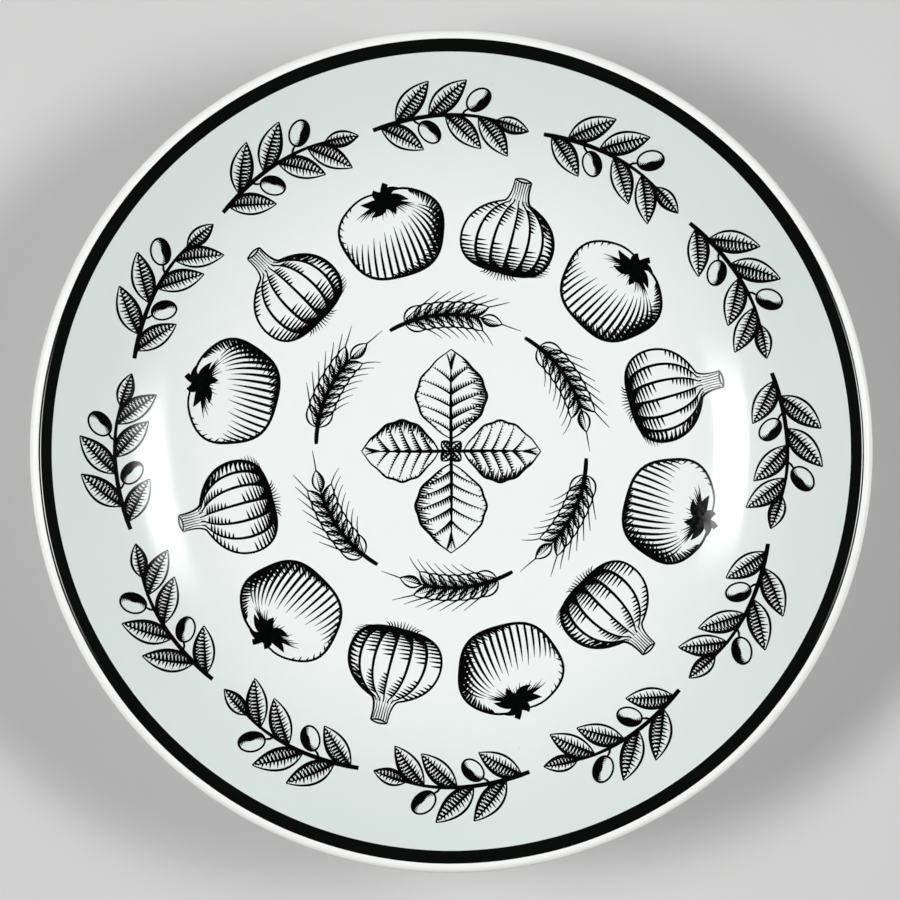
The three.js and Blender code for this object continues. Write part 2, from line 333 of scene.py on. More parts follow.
def inside_glaze():
    line = inside_line(0) + wall_line(SEAM_RADIUS, 0)
    back = inside_line(LINER_BACK) + wall_line(SEAM_RADIUS, LINER_BACK)
    return turned(line + back[::-1], closed=False)


def foot_side(corner, low):
    """A point at the wiped edge of the glaze, between a corner at the body and a point on the table."""
    share = (corner.imag - BARE_FOOT) / (corner.imag - low.imag)
    return complex(lerp(corner.real, low.real, share), BARE_FOOT)


def foot_edges(radius, side):
    """The corner of a coat at a side of the foot, and the ends of its front and its back."""
    low = complex(radius - side * FOOT_TAPER, 0)
    corner = point_at(radius + side * GLAZE, WALL_THICKNESS)
    back_corner = point_at(radius + side * COAT_GAP, COAT_BACK)
    return corner, foot_side(corner, low + side * GLAZE), foot_side(back_corner, low + side * COAT_GAP)


def wiped_edge(front, back):
    """The round edge where the glaze was wiped off the foot."""
    middle, reach = (front + back) / 2, abs(front - back) / 2
    side = 1 if front.real > back.real else -1
    turns = [cmath.rect(reach, -math.pi * share) for share in shares(CORNER_STEPS)]
    return [middle + complex(side * turn.real, turn.imag) for turn in turns]


def uneven_edge(bm, phase):
    """Lets the wiped edge of a coat rise and fall a little."""
    for vert in bm.verts:
        share = 1 - (vert.co.z - BARE_FOOT) / GLAZE_EDGE_REACH
        if share > 0:
            vert.co.z += GLAZE_EDGE_SWING * min(share, 1) * wave(math.atan2(vert.co.y, vert.co.x), phase)
    return bm


def outside_glaze():
    corner, front_end, back_end = foot_edges(FOOT_RADIUS, 1)
    outside = outside_line(WALL_THICKNESS, FOOT_RADIUS + GLAZE)
    fillet = rounded(outside[-2], corner, front_end, FOOT_FILLET)
    seam = [wall_point(lerp(SEAM_RADIUS + COAT_GAP, WALL_TOP, share), 0) for share in shares(2)]
    back_seam = [wall_point(point.real, LINER_BACK) for point in seam]
    line = seam[:-1] + lip_line(0, math.pi, 0) + [p for p in outside if p.real > fillet[0].real] + fillet
    line += wiped_edge(front_end, back_end)
    line += outside_line(COAT_BACK, FOOT_RADIUS + COAT_GAP)[::-1]
    line += lip_line(0, math.pi, LINER_BACK)[::-1] + back_seam[-2::-1]
    return uneven_edge(turned(line, closed=True), phase=0.0)


def base_glaze():
    corner, front_end, back_end = foot_edges(FOOT_INNER, -1)
    under = under_line(WALL_THICKNESS, FOOT_INNER - GLAZE)
    fillet = rounded(front_end, corner, under[1], FOOT_FILLET)
    line = under_line(COAT_BACK, FOOT_INNER - COAT_GAP)[::-1] + wiped_edge(front_end, back_end)[::-1]
    line += fillet + [p for p in under if p.real < fillet[-1].real]
    return uneven_edge(turned(line, closed=False), phase=1.3)


# Black band
BAND_WALL = (WALL_TOP - BAND_RADIUS) / math.cos(WALL_SLOPE)
BAND_LENGTH = BAND_WALL + LIP_RADIUS * (WALL_SLOPE - math.asin(BAND_STOP / LIP_RADIUS))


def band_point(distance, lift):
    """A point on the lip by its distance from the inner edge of the band, up the wall and over the lip."""
    if distance < BAND_WALL:
        return wall_point(BAND_RADIUS + distance * math.cos(WALL_SLOPE), -lift)
    return lip_point((distance - BAND_WALL) / LIP_RADIUS, -lift)


def rim_band():
    """A thin film round the lip, whose front and back meet in its two uneven edges."""
    bm = bmesh.new()
    across = 2 * LIP_STEPS
    grid = bmesh.ops.create_grid(bm, x_segments=TURN_STEPS, y_segments=2 * across, size=0.5)
    for vert in grid["verts"]:
        angle = 2 * math.pi * (vert.co.x + 0.5)
        share = 1 - abs(2 * vert.co.y)
        inner, outer = BAND_SWING * wave(angle, 0.8), BAND_LENGTH + BAND_SWING * wave(angle, 2.1)
        to_edge = BAND_LENGTH * min(share, 1 - share)
        film = BAND_FILM * math.sqrt(min(1, to_edge / BAND_TAPER)) if vert.co.y < 0 else 0
        point = band_point(lerp(inner, outer, share), BAND_SEAT + film)
        vert.co = (point.real * math.cos(angle), point.real * math.sin(angle), point.imag)
    return sealed(bm)


# Pen strokes of the print, in millimetres, as complex numbers: along and across a motif
def curve(start, pull, end, steps):
    return [start * (1 - t) ** 2 + 2 * pull * t * (1 - t) + end * t * t for t in shares(steps)]


def pen(points, width, start, peak, end):
    """A stroke: its points, and a width at each that swells to its peak and thins to both ends."""
    widths = []
    for share in shares(len(points) - 1):
        if share < peak:
            swell = lerp(start, 1, math.sin(math.pi / 2 * share / peak))
        else:
            swell = lerp(end, 1, math.cos(math.pi / 2 * (share - peak) / (1 - peak)))
        widths.append(PEN * width * swell)
    return points, widths


def tick(start, end, width):
    """A short stroke of hatching, thick where it starts."""
    return pen([start, (start + end) / 2, end], width, start=1, peak=0, end=0.15)


def between(points, share):
    """A point of a line by its share of the steps."""
    place = share * (len(points) - 1)
    first = min(int(place), len(points) - 2)
    return lerp(points[first], points[first + 1], place - first)


def along(points, distance):
    """The point and heading of a line at a distance from its start."""
    for start, end in zip(points, points[1:]):
        step = abs(end - start)
        if distance <= step:
            break
        distance -= step
    return start + (end - start) * distance / step, cmath.phase(end - start)


def length_of(points):
    return sum(abs(end - start) for start, end in zip(points, points[1:]))


def placed(strokes, spot, heading):
    turn = cmath.rect(1, heading)
    return [([spot + turn * point for point in points], widths) for points, widths in strokes]


def mirrored(strokes):
    return [([point.conjugate() for point in points], widths) for points, widths in strokes]


def leaf(length, width, belly, hatches):
    """A slender leaf along +x, hatched from its rib on the shaded side and from its edge on the other."""
    upper = curve(0, complex(belly * length, width), length, 14)
    lower = [point.conjugate() for point in upper]
    rib = curve(0, complex(belly * length, 0.05 * width), 0.95 * length, 6)
    strokes = [
        pen(upper, 0.75, start=0.5, peak=0.5, end=0.45),
        pen(lower, 1.15, start=0.4, peak=0.5, end=0.4),
        pen(rib, 0.9, start=0.9, peak=0, end=0.3),
    ]
    for k in range(1, hatches + 1):
        share = k / (hatches + 1)
        edge = between(lower, share)
        root = edge.real - 0.07 * length * (1 - share)
        strokes.append(tick(root, lerp(root, edge, 0.95 if k % 2 else 0.8), 0.95))
        strokes.append(tick(edge, lerp(edge, edge.real + 0.06 * length, 0.5), 0.75))
        edge = between(upper, share)
        root = edge.real - 0.05 * length
        strokes.append(tick(root, lerp(root, edge, 0.8 if k % 2 else 0.55), 0.7))
    return strokes


def olive():
    """An olive along +x on its stalk, with arcs of shade inside its outline."""
    def ring(size, first, last, steps):
        turns = [math.radians(lerp(first, last, share)) for share in shares(steps)]
        middle = STALK + OLIVE_LENGTH / 2
        reach, half = size * OLIVE_LENGTH / 2, size * OLIVE_WIDTH / 2
        return [middle + complex(reach * math.cos(turn), half * math.sin(turn)) for turn in turns]

    strokes = [
        pen([0, complex(STALK / 2, 0.3), STALK], 0.75, start=0.9, peak=0.2, end=0.8),
        pen(ring(1, 0, 360, 30), 0.6, start=1, peak=0.5, end=1),
    ]
    for k in range(7):
        size, trim = 0.93 - 0.12 * k, 7 * k
        shade = ring(size, 165 + trim, 385 - trim, 16)
        strokes.append(pen(shade, 1.0 - 0.05 * k, start=0.12, peak=0.55, end=0.12))
    return strokes


def olive_sprig():
    """Leaves and olives by turns to the left and right of a bowed stem, and a leaf at its tip."""
    half, tip = SPRIG_LENGTH / 2, TIP_SHARE * LEAF_LENGTH
    stem = curve(complex(-half, -STEM / 2), 1j * SPRIG_BOW, complex(half - tip, STEM / 2), 80)
    strokes = [pen(stem[::5], STEM, start=0.9, peak=0.05, end=0.5)]
    for i in range(int(length_of(stem) / NODE_PITCH)):
        spot, heading = along(stem, (i + 0.5) * NODE_PITCH)
        side = 1 if i % 2 else -1
        fruit = i % OLIVE_EVERY == OLIVE_EVERY - 1
        drawn = olive() if fruit else leaf(LEAF_LENGTH, LEAF_WIDTH, LEAF_BELLY, LEAF_HATCHES)
        lean = OLIVE_LEAN if fruit else LEAF_LEAN
        strokes += placed(drawn if side > 0 else mirrored(drawn), spot, heading + side * lean)
    last, heading = along(stem, length_of(stem) * 0.999)
    tip_leaf = leaf(tip, TIP_SHARE * LEAF_WIDTH, LEAF_BELLY, TIP_HATCHES)
    return strokes + placed(tip_leaf, last, heading)


def tomato():
    """A tomato with its stalk outwards: a lobed outline, lines down its sides, hatching and a calyx."""
    def rim(share, size=1.0):
        angle = math.pi / 2 - 2 * math.pi * share
        reach = FRUIT_RADIUS * (1 + TOMATO_LOBE * math.cos(TOMATO_LOBES * (angle - math.pi / 2)))
        dip = 1 - TOMATO_DIP * math.exp(-(((share - round(share)) / TOMATO_DIP_SPREAD) ** 2))
        return size * reach * complex(math.cos(angle), TOMATO_FLAT * dip * math.sin(angle))

    crown = 0.6j * FRUIT_RADIUS
    strokes = [pen([rim(share) for share in shares(60)], 1.0, start=0.7, peak=0.4, end=0.6)]
    lines, steps = 20, 24
    for k in range(lines):
        across = 1 - 2 * (k + 0.5) / lines
        foot = rim(0.5 - 0.23 * across, 0.985)
        line = curve(crown, complex(1.2 * across * FRUIT_RADIUS, 0.3 * FRUIT_RADIUS), foot, steps)
        shade = (1 + across) / 2
        strokes.append(pen(line[: 8 + k % 3], 0.8, start=1, peak=0, end=0.1))
        rising = line[steps - 5 - round(11 * shade) - k % 2:]
        strokes.append(pen(rising, 0.6 + 0.65 * shade, start=0.1, peak=0.9, end=0.8))
    dark_ticks, light_ticks = 40, 12
    for k in range(dark_ticks):
        share = 0.09 + 0.43 * k / (dark_ticks - 1)
        depth = 0.08 + 0.22 * math.sin(math.pi * (k + 1) / (dark_ticks + 1)) * (1 if k % 2 else 0.7)
        strokes.append(tick(rim(share, 0.99), rim(share + 0.015, 1 - depth), 0.95))
    for k in range(light_ticks):
        share = 0.62 + 0.26 * k / (light_ticks - 1)
        strokes.append(tick(rim(share, 0.99), rim(share - 0.012, 0.9 + 0.03 * (k % 2)), 0.55))
    for k in range(SEPALS):
        angle = math.radians(360 / SEPALS * k + SEPAL_TURN)
        bent = angle + SEPAL_BEND
        tip = crown + complex(SEPAL_REACH * math.cos(angle), SEPAL_RISE * math.sin(angle) - SEPAL_DROP)
        pull = crown + complex(SEPAL_PULL[0] * math.cos(bent), SEPAL_PULL[1] * math.sin(bent))
        strokes.append(pen(curve(crown, pull, tip, 8), 2.8, start=0.6, peak=0.4, end=0.07))
    stalk = curve(crown, crown + TOMATO_STALK_PULL, crown + TOMATO_STALK, 6)
    strokes.append(pen(stalk, 2.0, start=0.8, peak=0.5, end=0.95))
    return strokes


def garlic_bulb():
    """A bulb with its neck outwards: lines between its cloves, hatched shade and short roots."""
    def at(x, y):
        return FRUIT_RADIUS * complex(x, y)

    right = curve(at(0.16, 0.98), at(0.14, 0.65), at(0.25, 0.55), 8)
    right += curve(at(0.25, 0.55), at(0.87, 0.32), at(0.89, -0.2), 12)[1:]
    right += curve(at(0.89, -0.2), at(0.89, -0.86), at(0, -0.78), 14)[1:]

    def clove(share):
        return [complex(share * point.real, point.imag) for point in right]

    strokes = [
        pen(clove(1), 1.0, start=0.6, peak=0.6, end=0.6),
        pen(clove(-1), 0.75, start=0.6, peak=0.6, end=0.6),
    ]
    neck = 0.98j * FRUIT_RADIUS
    for lift in (1.0, -1.0):
        cut = curve(neck - right[0].real, neck + lift * BULB_NECK_CUT * 1j, neck + right[0].real, 6)
        strokes.append(pen(cut, 0.6, start=0.8, peak=0.5, end=0.8))
    top, bottom = range(10, 17), range(21, len(right) - 2)
    for share in (-1, -0.66, -0.3, 0.08, 0.45, 0.76):
        line = clove(share)
        strokes.append(pen(line[6:], 1.05 if share > -1 else 0.8, start=0.35, peak=0.85, end=0.7))
        for k in [*top, *bottom]:
            low = k in bottom
            reach = 0.055 * (k - bottom[0] + 3) if low else 0.28 - 0.035 * (k - top[0])
            across = (share + reach + 0.05) * right[k].real
            slant = 0.7 if low else -0.6
            strokes.append(tick(line[k], complex(across, line[k].imag + slant), 0.75))
    for k in range(9, len(right) - 3):
        halfway = (right[k] + right[k + 1]) / 2
        for start, inset, width in ((right[k], 0.2 + 0.06 * (k % 2), 0.95), (halfway, 0.09, 0.55)):
            strokes.append(tick(start, complex(start.real * (1 - inset), start.imag + 0.7), width))
    for k in range(6):
        x = 0.05 * (2 * k - 5) / 2
        crease = [at(x, 0.94), at(0.9 * x, 0.75), at(1.2 * x, 0.5)]
        strokes.append(pen(crease, 0.4, start=0.9, peak=0, end=0.2))
    for k in range(11):
        x = 0.05 * (k - 5)
        root = [at(x, -0.76), at(1.15 * x, -0.84), at(1.45 * x, -0.95 + 0.3 * abs(x))]
        strokes.append(pen(root, 0.55, start=0.9, peak=0.1, end=0.25))
    return strokes


def wheat_ear():
    """Grains in two rows along a straw, one at the tip, each with its awn."""
    half = EAR_LENGTH / 2
    grains = int(EAR_SHARE * EAR_LENGTH / GRAIN_PITCH)
    first = half - AWN_LENGTH - (grains + 1) * GRAIN_PITCH
    rise = math.asin((GRAIN_REACH - STEM / 2) / GRAIN_LENGTH)

    def grain():
        upper = curve(0, complex(0.42 * GRAIN_LENGTH, GRAIN_WIDTH), GRAIN_LENGTH, 10)
        lower = [point.conjugate() for point in upper]
        parts = [
            pen(upper, 0.65, start=0.6, peak=0.5, end=0.5),
            pen(lower, 0.95, start=0.6, peak=0.5, end=0.5),
        ]
        crease = curve(0.1 * GRAIN_LENGTH, 0.4 * GRAIN_LENGTH, 0.8 * GRAIN_LENGTH, 4)
        parts.append(pen(crease, 0.5, start=0.9, peak=0, end=0.15))
        for k in range(1, 9):
            parts.append(tick(lower[k], complex(lower[k].real + GRAIN_HATCH, 0.2 * lower[k].imag), 0.6))
        awn_tip = complex(GRAIN_LENGTH + AWN_LENGTH, AWN_BEND)
        awn = curve(GRAIN_LENGTH, GRAIN_LENGTH + AWN_PULL, awn_tip, 6)
        parts.append(pen(awn, 0.42, start=1, peak=0, end=0.4))
        return parts

    straw = curve(complex(-half, -STRAW_BEND), STRAW_PULL - half, first + grains * GRAIN_PITCH, 12)
    strokes = [pen(straw, STEM, start=0.8, peak=0.1, end=0.4)]
    for i in range(grains):
        for side in (1, -1):
            tip = complex(first + i * GRAIN_PITCH + GRAIN_LENGTH / 2, GRAIN_REACH * side)
            root = tip - cmath.rect(GRAIN_LENGTH, rise * side)
            strokes += placed(grain() if side > 0 else mirrored(grain()), root, rise * side)
    tip_root = first + (grains - 0.4) * GRAIN_PITCH
    return strokes + placed(grain(), tip_root, 0)


def basil_leaf(length, width):
    """A broad leaf along +x with a wavy edge, a midrib, side veins and hatching under each vein."""
    def wavy(point):
        share = point.real / length
        swing = BASIL_WAVE * math.sin(2 * BASIL_WAVES * math.pi * share) * min(1, 8 * (1 - share))
        return point + swing * 1j

    upper = [wavy(point) for point in curve(0, complex(BASIL_BELLY * length, width), length, 70)]
    lower = [point.conjugate() for point in upper]
    rib = curve(-0.4 * HUB, complex(0.4 * length, 0.3), 0.96 * length, 10)
    strokes = [
        pen(upper, 0.8, start=0.5, peak=0.5, end=0.45),
        pen(lower, 1.0, start=0.5, peak=0.5, end=0.45),
        pen(rib, 1.1, start=1, peak=0, end=0.2),
    ]
    veins = 6
    for k in range(1, veins + 1):
        share = k / (veins + 1.2)
        root = length * (share - 0.06)
        for edge, dark in ((upper, False), (lower, True)):
            end = between(edge, min(0.97, share + 0.13))
            pull = complex(lerp(root, end.real, 0.55), 0.35 * end.imag)
            vein = curve(root, pull, lerp(root, end, 0.95), 12)
            strokes.append(pen(vein, 0.65, start=1, peak=0, end=0.25))
            ticks = round(length_of(vein) / VEIN_HATCH)
            for j in range(1, ticks):
                spot = between(vein, j / ticks)
                reach = (0.075 if dark else 0.045) * length * (1 - 0.6 * j / ticks)
                slant = complex(reach, -0.2 * reach * math.copysign(1, end.imag))
                strokes.append(tick(spot, spot + slant, 0.75 if dark else 0.5))
    edge_ticks = 35
    for j in range(3, edge_ticks - 3):
        low, high = between(lower, j / edge_ticks), between(upper, j / edge_ticks)
        depth = 0.75 if j % 2 else 0.6
        strokes.append(tick(low, complex(low.real + 0.7, low.imag * depth), 0.75))
        if j % 2:
            strokes.append(tick(high, complex(high.real + 0.6, high.imag * 0.88), 0.5))
    return strokes


def basil_rosette(radius):
    """Large and small leaves by turns round a middle of young leaves."""
    strokes = []
    leaves = 2 * BASIL_PAIRS
    for i in range(leaves):
        heading = math.pi / 2 - 2 * math.pi * i / leaves
        length = (SMALL_LEAF if i % 2 else 1) * radius - HUB
        strokes += placed(basil_leaf(length, BASIL_SHAPE * length), cmath.rect(HUB, heading), heading)
        strokes += placed(leaf(1.1 * HUB, 0.7 * HUB, 0.5, 4), 0, heading + math.pi / leaves)
    return strokes


def stroke_ribbon(bm, points, widths, level):
    """A flat ribbon along a stroke, in plan."""
    last = len(points) - 1
    grid = bmesh.ops.create_grid(bm, x_segments=last, y_segments=1, size=0.5)
    for vert in grid["verts"]:
        i = round((vert.co.x + 0.5) * last)
        way = points[min(i + 1, last)] - points[max(i - 1, 0)]
        edge = points[i] + 1j * way / abs(way) * widths[i] * vert.co.y
        vert.co = (edge.real, edge.imag, level)


def transfer(name, strokes, ring, bent):
    """A mesh of a motif's strokes, laid inside the bowl. A garland's motif is bent round its ring."""
    bm = bmesh.new()
    for order, (points, widths) in enumerate(strokes):
        stroke_ribbon(bm, points, widths, order % PRINT_LEVELS * LEVEL_STEP)
    for vert in bm.verts:
        x, y, level = vert.co
        plan = cmath.rect(ring + y, math.pi / 2 - x / ring) if bent else complex(x, ring + y)
        plan *= MM
        vert.co = (plan.real, plan.imag, point_at(abs(plan)).imag + PRINT_TOP + level)
    bmesh.ops.recalc_face_normals(bm, faces=bm.faces)
    facing_down = [face for face in bm.faces if face.normal.z < 0]
    bmesh.ops.reverse_faces(bm, faces=facing_down)
    bmesh.ops.solidify(bm, geom=bm.faces[:], thickness=PRINT_FILM)
    return mesh_of(name, bm)


LEAF_REACH = LEAF_LENGTH * math.sin(LEAF_LEAN) + LEAF_WIDTH / 2
OLIVE_REACH = (STALK + OLIVE_LENGTH) * math.sin(OLIVE_LEAN) + OLIVE_WIDTH / 2
SPRIG_REACH = max(LEAF_REACH, OLIVE_REACH)
SPRIG_RING = BAND_RADIUS / MM - PRINT_MARGIN - SPRIG_REACH
FRUIT_RING = SPRIG_RING - SPRIG_REACH - RING_GAP - FRUIT_RADIUS
EAR_RING = FRUIT_RING - FRUIT_RADIUS - RING_GAP - EAR_REACH
ROSETTE_RADIUS = EAR_RING - EAR_REACH - ROSETTE_MARGIN


# Finishes
def new_finish(name, roughness, gloss=0.5):
    material = bpy.data.materials.new(name)
    material.use_nodes = True
    shader = material.node_tree.nodes["Principled BSDF"]
    shader.inputs["Roughness"].default_value = roughness
    shader.inputs["Specular IOR Level"].default_value = gloss
    return material, material.node_tree, shader


def node(tree, kind, inputs, **settings):
    """Adds a node, sets it and fills its inputs with values or with other nodes' outputs."""
    added = tree.nodes.new("ShaderNode" + kind)
    for name, value in settings.items():
        setattr(added, name, value)
    for name, value in inputs.items():
        if isinstance(value, bpy.types.NodeSocket):
            tree.links.new(value, added.inputs[name])
        else:
            added.inputs[name].default_value = value
    return added.outputs


def place_of(tree):
    return node(tree, "TexCoord", {})["Object"]


def noise(tree, place, size, detail):
    """Cloudy noise whose grains are about a size across."""
    return node(tree, "TexNoise", {"Vector": place, "Scale": 1 / size, "Detail": detail})["Fac"]


def ranged(tree, value, low, high, to_low, to_high):
    inputs = {"Value": value, "From Min": low, "From Max": high, "To Min": to_low, "To Max": to_high}
    return node(tree, "MapRange", inputs)["Result"]


def blended(tree, share, first, second):
    inputs = {0: share, 6: first, 7: second}
    return node(tree, "Mix", inputs, data_type="RGBA")[2]


def bumped(tree, height, distance, before=None):
    inputs = {"Height": height, "Distance": distance, "Strength": 1.0}
    if before is not None:
        inputs["Normal"] = before
    return node(tree, "Bump", inputs)["Normal"]


def from_axis(tree, place):
    """Distance from the bowl's axis."""
    flat = node(tree, "VectorMath", {0: place, 1: (1, 1, 0)}, operation="MULTIPLY")["Vector"]
    return node(tree, "VectorMath", {0: flat}, operation="LENGTH")["Value"]


def round_axis(tree, place):
    """Angle round the bowl's axis, and distance from it, as a place for streaks that run round."""
    parts = node(tree, "SeparateXYZ", {"Vector": place})
    angle = node(tree, "Math", {0: parts["Y"], 1: parts["X"]}, operation="ARCTAN2")["Value"]
    return node(tree, "CombineXYZ", {"X": angle, "Y": from_axis(tree, place)})["Vector"]


# White glaze
WELL_TONE = (0.822, 0.850, 0.842, 1)
# painted shade: the wall's darker, greener tone stands for the shade where the wall slopes away from the
# lamps
SHADED_WALL_TONE = (0.70, 0.766, 0.737, 1)
CLOUD_TONE = (0.80, 0.846, 0.823, 1)
# the lip's paler tone: partly the thinner glaze on the edge, partly painted light where the lip catches the
# lamps
THIN_LIT_LIP_TONE = (0.88, 0.88, 0.865, 1)
SPECK_TONE = (0.30, 0.27, 0.23, 1)
# radii between which the painted wall shade deepens
WALL_SHADE_START = 95 * MM
WALL_SHADE_END = 148 * MM
CLOUD_SIZE = 90 * MM
SPECK_PITCH = 14 * MM
SHEEN_SIZE = 18 * MM
FLOW_SIZE = 42 * MM
FLOW_DEPTH = 0.05 * MM
PEEL_SIZE = 2.6 * MM
PEEL_DEPTH = 0.0012 * MM
GLAZE_GLOSS = 0.16  # of the print too


def white_glaze(name, wall_tone):
    """A glossy glaze, shaded from the well out to a given wall tone as painted shade, and paler at the lip
    for thinner glaze and painted light.
    """
    material, tree, shader = new_finish(name, 0.07, GLAZE_GLOSS)
    place = place_of(tree)
    radius = from_axis(tree, place)
    # painted shade, deepening from the well out to the wall
    wall_shade_share = ranged(tree, radius, WALL_SHADE_START, WALL_SHADE_END, 0, 1)
    shaded_ground = blended(tree, wall_shade_share, WELL_TONE, wall_tone)
    cloud = ranged(tree, noise(tree, place, CLOUD_SIZE, 3), 0.35, 0.65, 0, 0.25)
    clouded = blended(tree, cloud, shaded_ground, CLOUD_TONE)
    # towards the crest: thinner glaze, and painted light on the lip
    thin_lit_lip = ranged(tree, radius, BAND_RADIUS, CREST, 0, 1)
    lip = blended(tree, thin_lit_lip, clouded, THIN_LIT_LIP_TONE)
    cells = node(tree, "TexVoronoi", {"Vector": place, "Scale": 1 / SPECK_PITCH})
    speck = ranged(tree, cells["Distance"], 0.010, 0.018, 0.5, 0)
    tree.links.new(blended(tree, speck, lip, SPECK_TONE), shader.inputs["Base Color"])
    gloss = ranged(tree, noise(tree, place, SHEEN_SIZE, 4), 0.3, 0.7, 0.05, 0.1)
    tree.links.new(gloss, shader.inputs["Roughness"])
    flow = bumped(tree, noise(tree, place, FLOW_SIZE, 1), FLOW_DEPTH)
    peel = bumped(tree, noise(tree, place, PEEL_SIZE, 1), PEEL_DEPTH, flow)
    tree.links.new(peel, shader.inputs["Normal"])
    return material


# Black enamel and ink
BLACK = (0.0003, 0.0004, 0.0005, 1)
THIN_BLACK = (0.002, 0.0022, 0.0024, 1)
STREAK_SCALE = (3, 2600, 1)  # round the lip and across it
STREAK_DEPTH = 0.0015 * MM
INK_SIZE = 1.6 * MM


def black_band():
    material, tree, shader = new_finish("black_band", 0.06, 0.4)
    around = round_axis(tree, place_of(tree))
    streaks = node(tree, "Mapping", {"Vector": around, "Scale": STREAK_SCALE})["Vector"]
    brushed = noise(tree, streaks, 1.0, 3)
    thin = ranged(tree, brushed, 0.35, 0.7, 0, 1)
    tree.links.new(blended(tree, thin, BLACK, THIN_BLACK), shader.inputs["Base Color"])
    tree.links.new(ranged(tree, brushed, 0.3, 0.7, 0.03, 0.08), shader.inputs["Roughness"])
    tree.links.new(bumped(tree, brushed, STREAK_DEPTH), shader.inputs["Normal"])
    return material


def black_print():
    material, tree, shader = new_finish("black_print", 0.1, GLAZE_GLOSS)
    ink = noise(tree, place_of(tree), INK_SIZE, 3)
    thin = ranged(tree, ink, 0.35, 0.75, 0, 1)
    tree.links.new(blended(tree, thin, BLACK, THIN_BLACK), shader.inputs["Base Color"])
    tree.links.new(ranged(tree, ink, 0.3, 0.7, 0.06, 0.13), shader.inputs["Roughness"])
    return material


# Bare clay
DARK_CLAY = (0.66, 0.58, 0.46, 1)
PALE_CLAY = (0.80, 0.73, 0.62, 1)
FLASH_TONE = (0.52, 0.33, 0.19, 1)  # beside the glaze
WORN_TONE = (0.36, 0.32, 0.28, 1)
CLAY_GRAIN = 0.7 * MM
CLAY_GRAIN_DEPTH = 0.06 * MM
FLASH_WIDTH = 1.6 * MM
SCUFF_SIZE = 5 * MM
SCUFF_HEIGHT = 0.5 * MM


def bare_clay():
    material, tree, shader = new_finish("bare_clay", 0.85)
    place = place_of(tree)
    grain = noise(tree, place, CLAY_GRAIN, 4)
    body = blended(tree, ranged(tree, grain, 0.3, 0.7, 0, 1), DARK_CLAY, PALE_CLAY)
    height = node(tree, "SeparateXYZ", {"Vector": place})["Z"]
    flash = ranged(tree, height, BARE_FOOT - FLASH_WIDTH, BARE_FOOT, 0, 0.45)
    warm = blended(tree, flash, body, FLASH_TONE)
    scuffs = ranged(tree, noise(tree, place, SCUFF_SIZE, 4), 0.45, 0.7, 0, 1)
    low = ranged(tree, height, 0, SCUFF_HEIGHT, 0.6, 0)
    worn = node(tree, "Math", {0: scuffs, 1: low}, operation="MULTIPLY")["Value"]
    tree.links.new(blended(tree, worn, warm, WORN_TONE), shader.inputs["Base Color"])
    tree.links.new(ranged(tree, grain, 0.3, 0.7, 0.75, 0.95), shader.inputs["Roughness"])
    tree.links.new(bumped(tree, grain, CLAY_GRAIN_DEPTH), shader.inputs["Normal"])
    return material


# Floor
DULL_FLOOR = (0.56, 0.56, 0.555, 1)
PALE_FLOOR = (0.60, 0.60, 0.595, 1)
FLOOR_CLOUD = 300 * MM


def pale_floor():
    material, tree, shader = new_finish("pale_floor", 0.6)
    tone = ranged(tree, noise(tree, place_of(tree), FLOOR_CLOUD, 2), 0.3, 0.7, 0, 1)
    colour = blended(tree, tone, DULL_FLOOR, PALE_FLOOR)
    tree.links.new(colour, shader.inputs["Base Color"])
    return material


# Pieces
CLAY = bare_clay()
LINER = white_glaze("white_liner", SHADED_WALL_TONE)
COAT = white_glaze("white_coat", WELL_TONE)
BAND = black_band()
PRINT = black_print()

piece(mesh_of("clay_body", clay_body()), CLAY, "bowl_body")
piece(mesh_of("foot_ring_clay", foot_ring()), CLAY, "foot_ring")
piece(mesh_of("inside_coat", inside_glaze()), LINER, "inside_glaze")
piece(mesh_of("outside_coat", outside_glaze()), COAT, "outside_glaze")
piece(mesh_of("base_coat", base_glaze()), COAT, "base_glaze")
piece(mesh_of("lip_band", rim_band()), BAND, "rim_band")


def print_ring(kind, mesh, first):
    """A copy of a transfer for each of its nodes, turned to its place round the bowl."""
    nodes = sorted(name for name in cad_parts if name.startswith(f"{kind}_print_"))
    for i, name in enumerate(nodes):
        copy = mesh.copy()
        copy.name = f"{kind}_strokes_{i + 1:02d}"
        copy.transform(Matrix.Rotation(first + 2 * math.pi * i / len(nodes), 4, "Z"))
        piece(copy, PRINT, name)
    bpy.data.meshes.remove(mesh)


HALF_STEP = math.pi / 12  # tomatoes and bulbs alternate
print_ring("olive", transfer("olive", olive_sprig(), SPRIG_RING, True), 0)
print_ring("tomato", transfer("tomato", tomato(), FRUIT_RING, False), HALF_STEP)
print_ring("garlic", transfer("garlic", garlic_bulb(), FRUIT_RING, False), -HALF_STEP)
print_ring("wheat", transfer("wheat", wheat_ear(), EAR_RING, True), 0)
basil = transfer("basil_strokes", basil_rosette(ROSETTE_RADIUS), 0, False)
piece(basil, PRINT, "basil_print")


# Camera
def look_down():
    """A camera straight above the bowl, at the distance where the rim fills its share of the picture."""
    picture = 2 * RIM_RADIUS * PHOTO_WIDTH / RIM_PIXELS
    pixel = picture / PHOTO_WIDTH
    data = bpy.data.cameras.new("camera")
    data.lens = LENS
    data.sensor_width = SENSOR
    camera = bpy.data.objects.new("camera", data)
    height = LIP_CENTRE.imag + picture * LENS / SENSOR
    camera.location = (-CENTRE_PIXELS[0] * pixel, -CENTRE_PIXELS[1] * pixel, height)
    bpy.context.collection.objects.link(camera)
    bpy.context.scene.camera = camera
    return camera


camera = look_down()


# Floor and light
def floor():
    bm = bmesh.new()
    bmesh.ops.create_grid(bm, x_segments=1, y_segments=1, size=FLOOR_REACH)
    mesh = mesh_of("floor", bm)
    mesh.materials.append(pale_floor())
    made = bpy.data.objects.new("floor", mesh)
    bpy.context.collection.objects.link(made)


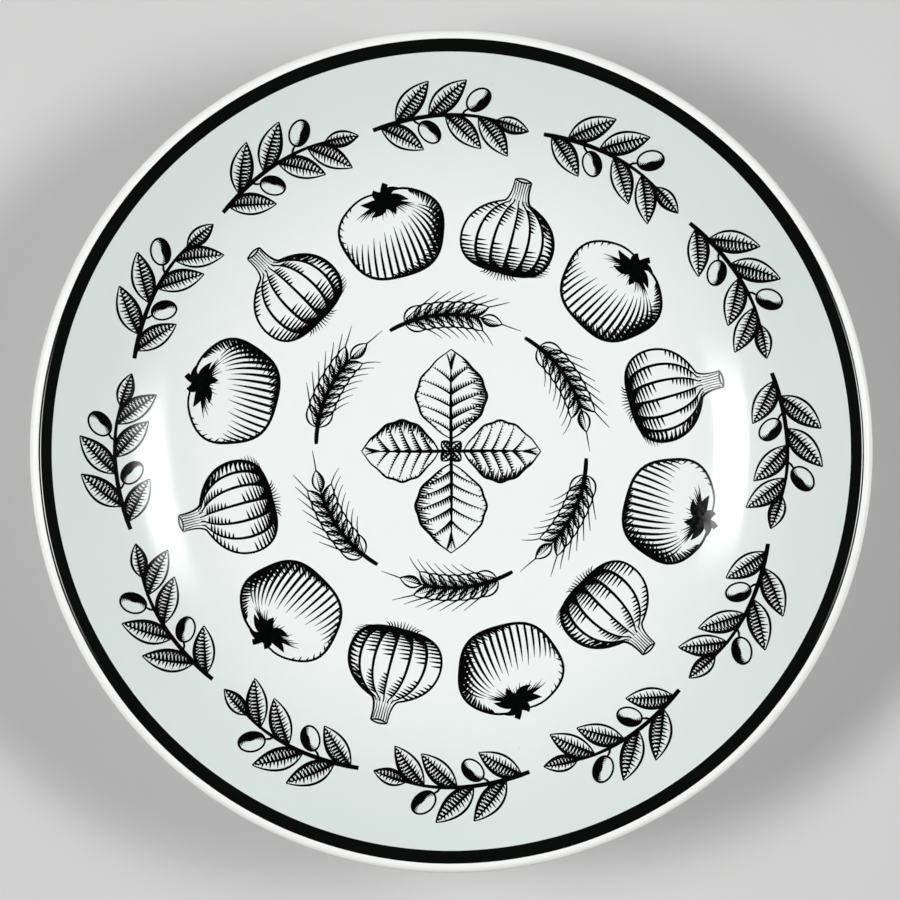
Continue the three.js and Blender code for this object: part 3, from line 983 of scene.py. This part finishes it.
def fading(data, lengthwise, crosswise):
    """Lets a softbox fade out to its edges, over a share of its half size each way."""
    data.use_nodes = True
    tree = data.node_tree
    place = node(tree, "SeparateXYZ", {"Vector": node(tree, "NewGeometry", {})["Parametric"]})
    faded = []
    for axis, share in (("X", lengthwise), ("Y", crosswise)):
        from_edge = node(tree, "Math", {0: place[axis], 1: 0.5}, operation="PINGPONG")["Value"]
        inputs = {"Value": from_edge, "From Max": share / 2}
        faded.append(node(tree, "MapRange", inputs, interpolation_type="SMOOTHSTEP")["Result"])
    glow = node(tree, "Math", {0: faded[0], 1: faded[1]}, operation="MULTIPLY")["Value"]
    tree.links.new(glow, tree.nodes["Emission"].inputs["Strength"])


def softbox(name, radius, bearing, turn, size, fade, power):
    """A softbox whose mirror image, from the camera, lies on the inside at a radius and a bearing.

    Its sides are given as shares of its distance.
    """
    slope = slope_at(radius)
    around = Matrix.Rotation(math.radians(bearing), 3, "Z")
    spot = around @ Vector((radius, 0, point_at(radius).imag))
    normal = around @ Vector((-math.sin(slope), 0, math.cos(slope)))
    view = (camera.location - spot).normalized()
    way = -view.reflect(normal)
    data = bpy.data.lights.new(name, "AREA")
    data.shape = "RECTANGLE"
    data.size, data.size_y = (LIGHT_DISTANCE * side for side in size)
    data.energy = power
    data.spread = LIGHT_SPREAD
    fading(data, *fade)
    made = bpy.data.objects.new(name, data)
    facing = way.to_track_quat("Z", "Y").to_matrix().to_4x4()
    turned_by = Matrix.Rotation(math.radians(turn), 4, "Z")
    made.matrix_world = Matrix.Translation(spot + LIGHT_DISTANCE * way) @ facing @ turned_by
    bpy.context.collection.objects.link(made)


def soft_surround():
    """A dim studio, dark overhead and paler halfway down its walls."""
    world = bpy.data.worlds.new("studio")
    world.use_nodes = True
    tree = world.node_tree
    height = node(tree, "SeparateXYZ", {"Vector": place_of(tree)})["Z"]
    lift = ranged(tree, height, 0, WALL_HEIGHT, HORIZON_SHARE, 1)
    fall = ranged(tree, height, WALL_HEIGHT, CEILING_HEIGHT, WALL_GLOW, OVERHEAD_GLOW)
    glow = node(tree, "Math", {0: lift, 1: fall}, operation="MULTIPLY")["Value"]
    tree.links.new(glow, tree.nodes["Background"].inputs["Strength"])
    tree.nodes["Background"].inputs["Color"].default_value = STUDIO_TONE
    bpy.context.scene.world = world


floor()
softbox("left_softbox", 112 * MM, bearing=-1.2, turn=0, size=(0.66, 0.21), fade=(0.9, 0.35), power=190)
softbox("right_softbox", 118.5 * MM, bearing=186.9, turn=6, size=(0.66, 0.235), fade=(0.9, 0.7), power=206)
soft_surround()
bpy.context.scene.view_settings.view_transform = "Standard"
